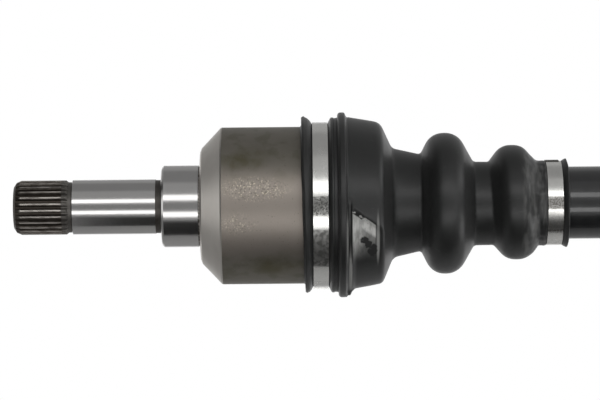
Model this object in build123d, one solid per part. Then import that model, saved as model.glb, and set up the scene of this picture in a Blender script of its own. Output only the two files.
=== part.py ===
# A car's drive shaft with both of its joints.
# The gearbox end has a tripod joint that plunges: a round housing forged in one piece with a splined
# stub, a three-legged spider on needle-borne rollers, and a rubber boot with two convolutions.
# A swaged tube runs on to the wheel end, which has a six-ball fixed joint with its cage, race and boot.
#
# X runs along the shaft from the gearbox to the wheel, and Z is up. The origin is on the shaft's axis,
# in the middle of the oil-seal journal. Every length is in millimetres.
from build123d import *
from math import asin, cos, pi, radians, sin, sqrt, tan
import os

# Fits shared by every piece
running_gap = 0.05  # between turning or spline-fitted steel pieces
seat_gap = 0.05  # between rubber or a clamp band and what it is seated on

# Splined stub and journals of the inner housing
stub_spline_teeth = 26
stub_spline_radius = 13.25
stub_spline_depth = 1.3
stub_spline_length = 26.7
stub_lead_length = 3.6
stub_lead_depth = 2.9
relief_length = 1.6
relief_depth = 0.9
pilot_radius = 13.35
pilot_length = 41.0
pilot_bevel = 0.5
undercut_length = 2.9
undercut_depth = 0.35
seal_radius = 20.0
seal_length = 18.1
seal_bevel_length = 1.3
seal_bevel_depth = 2.0
seal_root_groove = 1.0

# Round body of the inner housing
shoulder_radius = 28.4
body_radius = 38.4
body_chamfer_length = 10.4
body_length = 71.1  # from the shoulder face to the open rim
floor_thickness = 9.5
rim_bevel = 0.8
boot_groove_length = 6.0
boot_groove_depth = 1.3

# Tripod: spider, rollers and needles
tripod_centre_to_rim = 28.0  # at mid plunge
trunnion_count = 3
roller_pitch_radius = 21.5
roller_radius = 15.5
roller_width = 11.0
roller_crown_radius = 10.0
track_gap = 0.45  # each side of a roller, for the spider's wobble as the joint bends
track_top_reach = 10.5  # from the rollers' pitch out to the end of a track
land_bore_radius = 19.5
land_flare_radius = 23.2
land_flare_length = 11.5
trunnion_radius = 9.6
trunnion_tip_reach = 8.7  # past the rollers' pitch
needle_radius = 1.4
spider_hub_radius = 15.4
spider_hub_length = 24.0
trunnion_fillet = 1.2
retainer_thickness = 0.8
retainer_radius = 12.4
snap_ring_thickness = 1.0
snap_ring_depth = 0.8
snap_ring_height = 1.4
ring_side_gap = 0.1

# Bar: a tube swaged down to a splined neck at each end
joint_centre_distance = 370.0
tube_radius = 17.75
tube_wall = 4.0
neck_bore_radius = 5.0
inner_neck_radius = 11.5
inner_neck_reach = 66.0  # from the tripod's centre to where the neck starts to widen
inner_taper_length = 15.0
bar_spline_teeth = 24
inner_spline_radius = 12.3
outer_spline_radius = 13.0
bar_spline_depth = 1.1
bar_end_overhang = 3.6  # past the spider or the race, for the retaining ring
bar_spline_runout = 1.5
bar_end_bevel = 1.0
bar_ring_groove_depth = 1.2
bar_ring_thickness = 1.5
bar_ring_height = 2.4
outer_neck_radius = 12.4
outer_neck_reach = 66.0
outer_taper_length = 22.0

# Boot on the inner joint
boot_wall = 2.2
boot_lip_overhang = 4.6
boot_lip_height = 4.8
boot_cuff_wall = 1.3
large_clamp_to_rim = 8.9
small_cuff_lead = 3.2  # rubber ahead of the small clamp
small_cuff_wall = 2.0
small_lip_length = 3.0
clamp_width = 7.4
clamp_thickness = 0.8
large_cuff_step = 4.4
bead_radius = 2.4
bead_height = 7.0
shoulder_end_gap = 1.0
shoulder_start_rise = 4.8  # above the housing's body
shoulder_end_rise = 1.8
neck_start_rise = 8.65  # these four are above the tube
neck_end_rise = 6.05
first_crest_rise = 16.75
second_crest_rise = 10.25
valley_gap = 0.25  # between the boot and the tube
shoulder_start = 0.9  # past the housing's rim
shoulder_run = 15.0  # this and the next nine follow each other along the boot
shoulder_flank_run = 7.3
boot_neck_run = 13.4
first_rise_run = 5.9
first_crest_run = 12.6
first_fall_run = 8.2
valley_run = 7.3
second_rise_run = 7.1
second_crest_run = 10.5
second_fall_run = 5.9
shoulder_bend = 5.0
flank_bend = 6.0
neck_bend = 2.5
crest_bend = 10.4
valley_bend = 3.0
cuff_bend = 1.6
cuff_overlap = 0.9  # of the last fold's wall with the small cuff

# Ball joint at the wheel end
ball_count = 6
ball_radius = 8.73
ball_pitch_radius = 30.0
race_track_gap = 1.4  # each side of a ball, since the cage holds the balls at even angles
bell_track_gap = 1.75
cage_outer_radius = 34.0
cage_inner_radius = 28.4
cage_width = 25.0
window_length = 21.0
window_corner = 3.0
race_width = 23.0
bell_seat_radius = 43.5
bell_step = 1.5  # from the boot's seat up to the bell
bell_mouth = 18.0
bell_seat_length = 15.0
bell_cavity_depth = 27.5
bell_sphere_edge = 11.5
bell_mouth_wall = 5.6
bell_back = 36.0
bell_barrel = 20.0
bell_face_radius = 27.0
track_reach_out = 62.0
track_reach_in = 49.0

# Stub at the wheel end
hub_pilot_radius = 14.5
hub_pilot_length = 5.0
hub_spline_teeth = 27
hub_spline_radius = 13.5
hub_spline_depth = 1.2
hub_spline_length = 36.0
hub_relief_length = 3.0
hub_relief_radius = 10.2
hub_thread_radius = 11.0
hub_thread_length = 20.0
hub_end_bevel = 1.5
centre_hole_radius = 3.0
centre_hole_depth = 7.0

# Boot on the outer joint
outer_boot_wall = 1.8
outer_boot_crests = 5
outer_crest_rise = 3.0  # first fold above the bell's seat
outer_crest_last_rise = 10.25  # last fold above the tube
outer_valley_drop = 8.5
outer_fold_pitch = 14.2
outer_first_crest_gap = 8.6
outer_fold_radius = 2.4
outer_cuff_length = 13.0

# Radii that follow from the ones above
track_top_radius = roller_pitch_radius + track_top_reach
trunnion_tip_radius = roller_pitch_radius + trunnion_tip_reach
bell_radius = bell_seat_radius + bell_step
outer_crest_first = bell_seat_radius + outer_crest_rise
outer_crest_last = tube_radius + outer_crest_last_rise
shoulder_top = body_radius + shoulder_start_rise

# Stations along X that the other pieces are placed from
seal_left = -seal_length / 2
seal_right = seal_length / 2
stub_end = seal_left - pilot_length - undercut_length - relief_length - stub_spline_length
shoulder_face = seal_right + seal_root_groove
chamfer_end = shoulder_face + body_chamfer_length
rim = shoulder_face + body_length
cavity_floor = shoulder_face + floor_thickness
tripod_centre = rim - tripod_centre_to_rim
ball_centre = tripod_centre + joint_centre_distance
inner_clamp_left = rim - large_clamp_to_rim - clamp_width
inner_clamp_right = inner_clamp_left + clamp_width
clamp_seat_radius = body_radius + boot_cuff_wall
folds_right = rim + shoulder_start + sum(
    [
        shoulder_run,
        shoulder_flank_run,
        boot_neck_run,
        first_rise_run,
        first_crest_run,
        first_fall_run,
        valley_run,
        second_rise_run,
        second_crest_run,
        second_fall_run,
    ]
)
small_cuff_left = folds_right + 0.4
small_clamp_left = small_cuff_left + small_cuff_lead
small_seat_radius = tube_radius + seat_gap + small_cuff_wall


def turned(points):
    """A solid of revolution about X from (x, radius) corners."""
    outline = Polyline([(x, 0, r) for x, r in points], close=True)
    return revolve(make_face(outline), Axis.X)


def disc(radius, x_from, x_to):
    """A plain cylinder along X."""
    return Pos(X=(x_from + x_to) / 2) * Rot(Y=90) * Cylinder(radius, x_to - x_from)


def ring(inner_radius, outer_radius, x_from, x_to):
    return disc(outer_radius, x_from, x_to) - disc(inner_radius, x_from - 1, x_to + 1)


def round_core(radius):
    """A sphere at the origin with its seam between two ball tracks."""
    return Rot(X=180 / ball_count) * Rot(Y=90) * Sphere(radius)


def around(piece, count):
    """Copies of a piece turned about X at even angles."""
    return [Rot(X=360 / count * i) * piece for i in range(count)]


def spline_prism(tip_radius, depth, teeth, x_from, x_to, gap=0.0):
    """A prism with straight-sided spline teeth, grown all round by a gap."""
    tip_half = radians(360 / teeth) * 0.17
    root_half = radians(360 / teeth) * 0.36
    outer, inner = tip_radius + gap, tip_radius - depth + gap
    corners = []
    for tooth in range(teeth):
        middle = 2 * pi * tooth / teeth
        for radius, angle in (
            (inner, -root_half),
            (outer, -tip_half),
            (outer, tip_half),
            (inner, root_half),
        ):
            turn = middle + angle + gap / radius * (1 if angle > 0 else -1)
            corners.append((x_from, radius * sin(turn), radius * cos(turn)))
    section = make_face(Polyline(corners, close=True))
    return extrude(section, x_to - x_from, dir=(1, 0, 0))


def cut_spline(blank, tip_radius, depth, teeth, x_from, x_to):
    """Cuts spline teeth into a turned blank between two stations."""
    sleeve = disc(tip_radius + 2, x_from, x_to)
    return blank - (sleeve - spline_prism(tip_radius, depth, teeth, x_from - 1, x_to + 1))


def c_ring(inner_radius, outer_radius, x_from, x_to, opening=40.0):
    """A split retaining ring with its opening on +Z."""
    whole = ring(inner_radius, outer_radius, x_from, x_to)
    reach = outer_radius + 1
    half = reach * tan(radians(opening / 2))
    start = x_from - 1
    wedge = make_face(Polyline((start, 0, 0), (start, half, reach), (start, -half, reach), close=True))
    return whole - extrude(wedge, x_to - x_from + 2, dir=(1, 0, 0))


def bent_path(path):
    """A line with rounded corners through (x, radius) points."""
    points = [(x, 0, r) for (x, r), _ in path]
    bends = [bend for _, bend in path if bend is not None]
    return FilletPolyline(points, radius=bends)


def inner_skin(path, wall):
    """The same path moved inward by the wall, with its bend radii changed to stay parallel."""
    lines = []
    for (start, _), (end, _) in zip(path, path[1:]):
        dx, dr = end[0] - start[0], end[1] - start[1]
        length = sqrt(dx * dx + dr * dr)
        shift = (dr / length * wall, -dx / length * wall)
        lines.append(((start[0] + shift[0], start[1] + shift[1]), (dx / length, dr / length)))
    first, last = lines[0], lines[-1]
    moved = [((path[0][0][0], first[0][1]), None)]
    for before, after, (_, bend) in zip(lines, lines[1:], path[1:-1]):
        (ax, ar), (adx, adr) = before
        (bx, br), (bdx, bdr) = after
        turn = adx * bdr - adr * bdx
        along = ((bx - ax) * bdr - (br - ar) * bdx) / turn
        corner = (ax + adx * along, ar + adr * along)
        moved.append((corner, max(bend + (wall if turn > 0 else -wall), 0.5)))
    end = path[-1][0]
    moved.append(((end[0], end[1] - wall), None))
    return moved


def bellows_face(path, wall):
    """The section of a bellows wall between its outer and inner skins."""
    outside = bent_path(path)
    inside = bent_path(inner_skin(path, wall))
    start = Line(outside @ 0, inside @ 0)
    end = Line(outside @ 1, inside @ 1)
    return make_face([*outside.edges(), *inside.edges(), start, end])


def joined_revolutions(sections):
    """One body made from overlapping sections, each turned about X."""
    body = revolve(sections[0], Axis.X)
    for section in sections[1:]:
        body += revolve(section, Axis.X)
    return body


def inner_housing():
    """Splined stub, journals and round body in one forging, with the three roller tracks inside."""
    relief_left = stub_end + stub_spline_length
    pilot_left = relief_left + relief_length
    pilot_right = pilot_left + pilot_length
    relief_radius = stub_spline_radius - relief_depth
    lip_radius = stub_spline_radius - stub_lead_depth
    groove_left = inner_clamp_left + (clamp_width - boot_groove_length) / 2
    groove_right = groove_left + boot_groove_length
    groove_radius = body_radius - boot_groove_depth
    body = turned(
        [
            (stub_end, 0),
            (stub_end, lip_radius),
            (stub_end + stub_lead_length * 0.35, lip_radius + stub_lead_depth * 0.65),
            (stub_end + stub_lead_length, stub_spline_radius),
            (relief_left - 1.2, stub_spline_radius),
            (relief_left, relief_radius),
            (pilot_left, relief_radius),
            (pilot_left + pilot_bevel, pilot_radius),
            (pilot_right, pilot_radius),
            (pilot_right, pilot_radius - undercut_depth),
            (seal_left, pilot_radius - undercut_depth),
            (seal_left, seal_radius - seal_bevel_depth),
            (seal_left + seal_bevel_length * 0.3, seal_radius - seal_bevel_depth * 0.4),
            (seal_left + seal_bevel_length, seal_radius),
            (seal_right, seal_radius),
            (seal_right, seal_radius - seal_root_groove / 2),
            (shoulder_face, seal_radius - seal_root_groove / 2),
            (shoulder_face, shoulder_radius - 2.0),
            (shoulder_face + 0.8, shoulder_radius),
            (chamfer_end - 0.4, body_radius - 0.3),
            (chamfer_end + 0.3, body_radius),
            (groove_left, body_radius),
            (groove_left + 0.6, groove_radius),
            (groove_right - 0.6, groove_radius),
            (groove_right, body_radius),
            (rim - rim_bevel, body_radius),
            (rim, body_radius - rim_bevel),
            (rim, 0),
        ]
    )
    body = cut_spline(
        body, stub_spline_radius, stub_spline_depth, stub_spline_teeth, stub_end - 1, relief_left
    )
    depth = rim - cavity_floor + 1
    lobe = Pos(Z=roller_pitch_radius) * disc(roller_radius + track_gap, cavity_floor, cavity_floor + depth)
    tracks = disc(land_bore_radius, cavity_floor, cavity_floor + depth)
    for track in around(lobe, trunnion_count):
        tracks += track
    tracks = tracks & disc(track_top_radius, cavity_floor, cavity_floor + depth)
    flare = turned(
        [
            (rim - land_flare_length, 0),
            (rim - land_flare_length, land_bore_radius),
            (rim, land_flare_radius),
            (rim + 1, land_flare_radius),
            (rim + 1, 0),
        ]
    )
    return body - tracks - flare


def spider():
    """Hub with three trunnions, splined on to the bar."""
    half = spider_hub_length / 2
    hub = turned(
        [
            (-half, 0),
            (-half, spider_hub_radius - 2.5),
            (-half + 2.5, spider_hub_radius),
            (half - 2.5, spider_hub_radius),
            (half, spider_hub_radius - 2.5),
            (half, 0),
        ]
    )
    trunnion = Pos(Z=trunnion_tip_radius / 2) * Cylinder(trunnion_radius, trunnion_tip_radius)
    trunnion = chamfer(trunnion.faces().sort_by(Axis.Z)[-1].edges(), 0.8)
    flange_top = roller_pitch_radius - roller_width / 2 - ring_side_gap
    flange = Pos(Z=flange_top / 2) * Cylinder(retainer_radius - 0.6, flange_top)
    slot_from, slot_to = snap_ring_span()
    slot_height = slot_to - slot_from + 2 * ring_side_gap
    slot = Pos(Z=(slot_from + slot_to) / 2) * (
        Cylinder(trunnion_radius + 1, slot_height) - Cylinder(trunnion_radius - snap_ring_depth, slot_height)
    )
    leg = trunnion + flange - slot
    body = hub
    for one in around(leg, trunnion_count):
        body += one
    bore = spline_prism(
        inner_spline_radius, bar_spline_depth, bar_spline_teeth, -half - 1, half + 1, running_gap
    )
    return Pos(X=tripod_centre) * (body - bore)


def snap_ring_span():
    """Lowest and highest radius of a trunnion's snap ring."""
    low = roller_pitch_radius + roller_width / 2 + 2 * ring_side_gap + retainer_thickness + ring_side_gap
    return low, low + snap_ring_thickness


def roller():
    """Crowned outer roller on the +Z trunnion, round the trunnion's axis."""
    half = roller_width / 2
    bore = trunnion_radius + 2 * needle_radius + 2 * running_gap
    drop = roller_crown_radius - sqrt(roller_crown_radius**2 - (half - 0.6) ** 2)
    side = roller_radius - drop
    crown = ThreePointArc((side, 0, half - 0.6), (roller_radius, 0, 0), (side, 0, -half + 0.6))
    rest = Polyline(
        (side, 0, -half + 0.6),
        (side - 0.6, 0, -half),
        (bore + 0.4, 0, -half),
        (bore, 0, -half + 0.4),
        (bore, 0, half - 0.4),
        (bore + 0.4, 0, half),
        (side - 0.6, 0, half),
        (side, 0, half - 0.6),
    )
    return Pos(Z=roller_pitch_radius) * revolve(make_face([crown, *rest.edges()]), Axis.Z)


def needle_set():
    """A full row of needles between the +Z trunnion and its roller."""
    pitch = trunnion_radius + needle_radius + running_gap
    count = int(pi / asin((needle_radius + 0.02) / pitch))
    needle = Pos(X=pitch, Z=roller_pitch_radius) * Cylinder(needle_radius, roller_width - 0.6)
    return [Rot(Z=360 / count * i) * needle for i in range(count)]


def roller_retainer():
    """Washer that keeps the roller and its needles on the +Z trunnion."""
    low = roller_pitch_radius + roller_width / 2 + 2 * ring_side_gap
    middle = low + retainer_thickness / 2
    washer = Cylinder(retainer_radius, retainer_thickness) - Cylinder(trunnion_radius + running_gap, 2)
    return Pos(Z=middle) * washer


def trunnion_snap_ring():
    """Split ring in the +Z trunnion's groove."""
    low, high = snap_ring_span()
    inner = trunnion_radius - snap_ring_depth + running_gap
    split = c_ring(inner, inner + snap_ring_height, low, high)
    return Rot(Y=-90) * split


def bar():
    """Tube swaged down to a splined neck at each end, hollow from end to end."""
    inner_end = tripod_centre - spider_hub_length / 2 - bar_end_overhang
    inner_teeth_end = tripod_centre + spider_hub_length / 2 + bar_end_overhang
    outer_teeth_start = ball_centre - race_width / 2 - 2.0
    outer_end = ball_centre + race_width / 2 + bar_end_overhang
    neck_end = tripod_centre + inner_neck_reach
    tube_start = neck_end + inner_taper_length
    outer_neck_start = ball_centre - outer_neck_reach
    tube_end = outer_neck_start - outer_taper_length
    tube_bore = tube_radius - tube_wall
    outside = turned(
        [
            (inner_end, 0),
            (inner_end, inner_spline_radius - bar_end_bevel),
            (inner_end + bar_end_bevel, inner_spline_radius),
            (inner_teeth_end, inner_spline_radius),
            (inner_teeth_end + bar_spline_runout, inner_neck_radius),
            (neck_end, inner_neck_radius),
            (tube_start, tube_radius),
            (tube_end, tube_radius),
            (outer_neck_start, outer_neck_radius),
            (outer_teeth_start - bar_spline_runout, outer_neck_radius),
            (outer_teeth_start, outer_spline_radius),
            (outer_end - bar_end_bevel, outer_spline_radius),
            (outer_end, outer_spline_radius - bar_end_bevel),
            (outer_end, 0),
        ]
    )
    inside = turned(
        [
            (inner_end - 1, 0),
            (inner_end - 1, neck_bore_radius),
            (neck_end + tube_wall, neck_bore_radius),
            (tube_start + tube_wall, tube_bore),
            (tube_end - tube_wall, tube_bore),
            (outer_neck_start - tube_wall, neck_bore_radius),
            (outer_end + 1, neck_bore_radius),
            (outer_end + 1, 0),
        ]
    )
    body = outside - inside
    body = cut_spline(
        body, inner_spline_radius, bar_spline_depth, bar_spline_teeth, inner_end - 1, inner_teeth_end
    )
    body = cut_spline(
        body, outer_spline_radius, bar_spline_depth, bar_spline_teeth, outer_teeth_start, outer_end + 1
    )
    for tip_radius, x_from, x_to in bar_ring_spans():
        floor = tip_radius - bar_spline_depth - bar_ring_groove_depth
        body -= ring(floor, tip_radius + 1, x_from - ring_side_gap, x_to + ring_side_gap)
    return body


def bar_ring_spans():
    """Spline radius and stations of the three retaining rings on the bar."""
    spider_left = tripod_centre - spider_hub_length / 2 - ring_side_gap
    spider_right = tripod_centre + spider_hub_length / 2 + ring_side_gap
    race_right = ball_centre + race_width / 2 + ring_side_gap
    return [
        (inner_spline_radius, spider_left - bar_ring_thickness, spider_left),
        (inner_spline_radius, spider_right, spider_right + bar_ring_thickness),
        (outer_spline_radius, race_right, race_right + bar_ring_thickness),
    ]


def bar_ring(span):
    tip_radius, x_from, x_to = span
    inner = tip_radius - bar_spline_depth - bar_ring_groove_depth + running_gap
    return c_ring(inner, inner + bar_ring_height, x_from, x_to)


def inner_boot_path():
    """Corners of the boot's outer skin from the rim to the small cuff, with the bend at each one."""
    valley = tube_radius + boot_wall + valley_gap
    first_crest = tube_radius + first_crest_rise
    second_crest = tube_radius + second_crest_rise
    corners = [
        (shoulder_run, body_radius + shoulder_end_rise, shoulder_bend),
        (shoulder_flank_run, tube_radius + neck_start_rise, flank_bend),
        (boot_neck_run, tube_radius + neck_end_rise, neck_bend),
        (first_rise_run, first_crest, crest_bend),
        (first_crest_run, first_crest, crest_bend),
        (first_fall_run, valley, valley_bend),
        (valley_run, valley, valley_bend),
        (second_rise_run, second_crest, crest_bend),
        (second_crest_run, second_crest, crest_bend),
        (second_fall_run, valley + 0.1, cuff_bend),
    ]
    station = rim + shoulder_start
    path = [((station, shoulder_top), None)]
    for run, radius, bend in corners:
        station += run
        path.append(((station, radius), bend))
    path.append(((small_cuff_left + cuff_overlap, valley + 0.1), None))
    return path


def inner_boot():
    """Rubber boot with a flared lip, a clamp seat, a bead and two round convolutions."""
    wall = bellows_face(inner_boot_path(), boot_wall)
    seat = body_radius + seat_gap
    rib_left = inner_clamp_left + (clamp_width - boot_groove_length) / 2 + seat_gap
    rib_right = rib_left + boot_groove_length - 2 * seat_gap
    rib_radius = seat - boot_groove_depth
    lip_left = inner_clamp_left - boot_lip_overhang
    bead_x = rim - 1.6
    bead_base = body_radius + large_cuff_step
    before_bead = [
        (bead_x - bead_radius, bead_base),
        (inner_clamp_right + 1.5, bead_base - 0.4),
        (inner_clamp_right + 0.1, clamp_seat_radius),
        (inner_clamp_left - 0.1, clamp_seat_radius),
        (inner_clamp_left - 0.5, clamp_seat_radius + 1.2),
        (lip_left + 3.0, seat + boot_lip_height - 0.7),
        (lip_left + 0.7, seat + boot_lip_height),
        (lip_left, seat),
        (rib_left, seat),
        (rib_left + 0.6, rib_radius),
        (rib_right - 0.6, rib_radius),
        (rib_right, seat),
        (rim + shoulder_end_gap - 0.6, seat),
        (rim + shoulder_end_gap - 0.4, shoulder_top + 0.2 - boot_wall),
        (rim + 2.4, shoulder_top + 0.2 - boot_wall),
        (rim + 2.4, shoulder_top - 0.5),
        (rim + 0.9, shoulder_top),
    ]
    bead = ThreePointArc(
        (rim + 0.9, 0, shoulder_top),
        (bead_x, 0, body_radius + bead_height),
        (bead_x - bead_radius, 0, bead_base),
    )
    cuff_line = Polyline([(x, 0, r) for x, r in before_bead])
    cuff = make_face([*cuff_line.edges(), bead])
    bar_seat = tube_radius + seat_gap
    clamp_right = small_clamp_left + clamp_width
    lip_end = clamp_right + small_lip_length
    small_cuff = make_face(
        Polyline(
            [
                (x, 0, r)
                for x, r in [
                    (small_cuff_left, bar_seat + 0.2),
                    (small_cuff_left, bar_seat + 2.5),
                    (small_clamp_left - 0.3, bar_seat + 2.5),
                    (small_clamp_left - 0.1, small_seat_radius),
                    (clamp_right + 0.1, small_seat_radius),
                    (clamp_right + 0.8, bar_seat + 3.1),
                    (lip_end - 1.2, bar_seat + 3.7),
                    (lip_end - 0.2, bar_seat + 1.2),
                    (lip_end, bar_seat),
                    (small_cuff_left + 1, bar_seat),
                ]
            ],
            close=True,
        )
    )
    return joined_revolutions([wall, cuff, small_cuff])


def ear_clamp(seat_radius, x_from, ear_angle, lap=75.0):
    """Steel band with one crimped ear, and its outer end lapped over the inner one."""
    inner = seat_radius + seat_gap
    outer = inner + clamp_thickness
    top = outer + clamp_thickness
    plane = Plane(origin=(x_from, 0, 0), x_dir=(0, 1, 0), z_dir=(1, 0, 0))
    band = Circle(outer) - Circle(inner)
    reach = top + 5
    steps = [lap * i / 3 for i in range(4)]
    fan = make_face(
        Polyline(
            [(0, 0)] + [(reach * cos(radians(90 - a)), reach * sin(radians(90 - a))) for a in steps],
            close=True,
        )
    )
    lapped = (Circle(top) - Circle(outer - 0.1)) & fan
    ear_width, ear_height = 8.0, 5.4
    hoop = Pos(Y=outer + ear_height / 2 - 0.1) * RectangleRounded(ear_width, ear_height + 0.2, 1.9)
    hollow = Pos(Y=outer + ear_height / 2 - 0.1) * RectangleRounded(
        ear_width - 2 * clamp_thickness, ear_height + 0.2 - 2 * clamp_thickness, 1.1
    )
    foot = Pos(Y=outer - 0.05) * Rectangle(ear_width - 3.8, 0.5)
    tabs = [
        Rot(Z=-angle) * Pos(Y=top + 0.5) * Rectangle(2.0, 1.6) for angle in (lap * 0.45, lap * 0.7)
    ]
    section = band + lapped + (hoop - hollow) + foot
    band_solid = extrude(plane * section, clamp_width)
    for tab in tabs:
        band_solid += Pos(X=clamp_width * 0.3) * extrude(plane * tab, clamp_width * 0.4)
    return Rot(X=ear_angle) * band_solid


def ball_direction(index):
    """Angle of a ball about X, from the +Y axis; the first is on the +Z axis."""
    return 90 + 360 / ball_count * index


def ball(index):
    angle = radians(ball_direction(index))
    place = (ball_centre, ball_pitch_radius * cos(angle), ball_pitch_radius * sin(angle))
    return Pos(*place) * Sphere(ball_radius)


def ball_tracks(gap, back, out):
    """Curved grooves for the balls, each an arc about the joint's centre."""
    radius = ball_radius + gap
    section = Pos(Z=ball_pitch_radius) * Rot(Y=90) * Circle(radius)
    groove = revolve(Rot(Y=-out) * section, Axis.Y, revolution_arc=back + out)
    return around(groove, ball_count)


def bell_section():
    """Corners of the outer housing's turned outside, as distance from the ball centre and radius."""
    seat_end = -bell_mouth + bell_seat_length
    clamp_left = outer_clamp_left() - ball_centre
    groove_left = clamp_left + (clamp_width - boot_groove_length) / 2
    groove_right = groove_left + boot_groove_length
    groove_radius = bell_seat_radius - boot_groove_depth
    spline_start = bell_back + hub_pilot_length
    spline_end = spline_start + hub_spline_length
    thread_start = spline_end + hub_relief_length
    stub_tip = thread_start + hub_thread_length
    return [
        (-bell_mouth, 0),
        (-bell_mouth, bell_seat_radius - 0.6),
        (-bell_mouth + 0.6, bell_seat_radius),
        (groove_left, bell_seat_radius),
        (groove_left + 0.6, groove_radius),
        (groove_right - 0.6, groove_radius),
        (groove_right, bell_seat_radius),
        (seat_end, bell_seat_radius),
        (seat_end + 0.8, bell_radius),
        (bell_barrel, bell_radius),
        (bell_barrel + 4, bell_radius - 2),
        (bell_back - 7, bell_face_radius + 6),
        (bell_back - 3, bell_face_radius + 0.5),
        (bell_back - 0.5, bell_face_radius),
        (bell_back, bell_face_radius - 0.5),
        (bell_back, hub_pilot_radius),
        (spline_start, hub_pilot_radius),
        (spline_start + 0.8, hub_spline_radius),
        (spline_end - 0.8, hub_spline_radius),
        (spline_end, hub_relief_radius),
        (thread_start, hub_relief_radius),
        (thread_start + 0.8, hub_thread_radius),
        (stub_tip - hub_end_bevel, hub_thread_radius),
        (stub_tip, hub_thread_radius - hub_end_bevel),
        (stub_tip, 0),
    ]


def outer_housing():
    """Bell with six ball tracks, forged in one piece with the splined and threaded stub."""
    body = Rot(X=180 / ball_count) * turned(bell_section())
    spline_start = bell_back + hub_pilot_length
    spline_end = spline_start + hub_spline_length
    stub_tip = spline_end + hub_relief_length + hub_thread_length
    body = cut_spline(
        body, hub_spline_radius, hub_spline_depth, hub_spline_teeth, spline_start + 0.4, spline_end
    )
    sphere_radius = cage_outer_radius + 2 * running_gap
    cavity = round_core(sphere_radius) & disc(sphere_radius + 1, -sphere_radius - 1, bell_cavity_depth)
    edge_radius = sqrt(sphere_radius**2 - bell_sphere_edge**2)
    mouth_radius = bell_seat_radius - bell_mouth_wall
    flare = turned(
        [
            (-bell_sphere_edge, 0),
            (-bell_sphere_edge, edge_radius),
            (-bell_mouth, mouth_radius),
            (-bell_mouth - 1, mouth_radius),
            (-bell_mouth - 1, 0),
        ]
    )
    body = body - cavity - flare
    for groove in ball_tracks(bell_track_gap, track_reach_in, track_reach_out):
        body -= groove
    hole = turned(
        [
            (stub_tip - centre_hole_depth, 0),
            (stub_tip - centre_hole_depth + centre_hole_radius, centre_hole_radius * 0.6),
            (stub_tip - 3, centre_hole_radius * 0.6),
            (stub_tip, centre_hole_radius),
            (stub_tip + 1, centre_hole_radius),
            (stub_tip + 1, 0),
        ]
    )
    return Pos(X=ball_centre) * (body - hole)


def inner_race():
    """Ball-bearing inner race with a spherical outside, splined on to the bar."""
    half = race_width / 2
    radius = cage_inner_radius - 2 * running_gap
    body = round_core(radius) & disc(radius + 1, -half, half)
    for groove in ball_tracks(race_track_gap, 45, 45):
        body -= groove
    bore = spline_prism(
        outer_spline_radius, bar_spline_depth, bar_spline_teeth, -half - 1, half + 1, running_gap
    )
    return Pos(X=ball_centre) * (body - bore)


def cage():
    """Spherical ring with a window for each ball."""
    half = cage_width / 2
    shell = round_core(cage_outer_radius) - round_core(cage_inner_radius)
    body = shell & disc(cage_outer_radius + 1, -half, half)
    opening = 2 * (ball_radius + running_gap / 2)
    window = Pos(Z=cage_outer_radius - 4) * Box(opening, window_length, 16)
    window = fillet(window.edges().filter_by(Axis.Z), window_corner)
    for hole in around(window, ball_count):
        body -= hole
    return Pos(X=ball_centre) * body


def outer_clamp_left():
    return ball_centre - bell_mouth + 3.6


def outer_small_seat():
    """Left and right end of the outer boot's cuff on the tube."""
    right = ball_centre - bell_mouth - outer_first_crest_gap + 1.2 - outer_fold_pitch * outer_boot_crests
    return right - outer_cuff_length, right


def outer_boot():
    """Thermoplastic boot whose folds shrink from the bell to the tube."""
    mouth = ball_centre - bell_mouth
    seat = bell_seat_radius + seat_gap
    clamp_left = outer_clamp_left()
    clamp_right = clamp_left + clamp_width
    clamp_seat = outer_clamp_seat()
    bar_seat = tube_radius + seat_gap
    small_left, small_right = outer_small_seat()
    small_clamp = small_left + 3.0
    path = [((small_right, bar_seat + 2.6), None)]
    for fold in reversed(range(outer_boot_crests)):
        share = fold / (outer_boot_crests - 1)
        crest = outer_crest_first + (outer_crest_last - outer_crest_first) * share
        valley = max(crest - outer_valley_drop + 1.5 * share, bar_seat + 2.4)
        crest_x = mouth - outer_first_crest_gap - outer_fold_pitch * fold
        path.append(((crest_x - outer_fold_pitch / 2, valley), outer_fold_radius))
        path.append(((crest_x, crest), outer_fold_radius))
    path.append(((mouth - 3.4, outer_crest_first - 3.4), 1.0))
    path.append(((mouth - 0.4, outer_crest_first - 0.9), None))
    wall = bellows_face(path, outer_boot_wall)
    cuff = make_face(
        Polyline(
            [
                (x, 0, r)
                for x, r in [
                    (mouth - 0.6, seat - outer_boot_wall),
                    (mouth - 0.8, outer_crest_first - 1.6),
                    (mouth - 0.4, outer_crest_first - 0.9),
                    (clamp_left - 0.8, outer_crest_first - 0.8),
                    (clamp_left - 0.1, clamp_seat),
                    (clamp_right + 0.1, clamp_seat),
                    (clamp_right + 0.8, outer_crest_first - 0.8),
                    (clamp_right + 2.2, outer_crest_first - 1.4),
                    (clamp_right + 2.6, seat),
                    (mouth - 0.3, seat),
                    (mouth - 0.3, seat - outer_boot_wall),
                ]
            ],
            close=True,
        )
    )
    small_cuff = make_face(
        Polyline(
            [
                (x, 0, r)
                for x, r in [
                    (small_left, bar_seat),
                    (small_left + 0.4, bar_seat + 2.8),
                    (small_clamp - 0.5, bar_seat + 3.0),
                    (small_clamp - 0.1, small_seat_radius),
                    (small_clamp + clamp_width + 0.1, small_seat_radius),
                    (small_clamp + clamp_width + 0.5, bar_seat + 3.0),
                    (small_right + 0.3, bar_seat + 2.6),
                    (small_right + 0.3, bar_seat + 0.6),
                    (small_right - 0.3, bar_seat),
                ]
            ],
            close=True,
        )
    )
    return joined_revolutions([wall, cuff, small_cuff])


def outer_clamp_seat():
    return bell_seat_radius + boot_cuff_wall + 0.3


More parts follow.
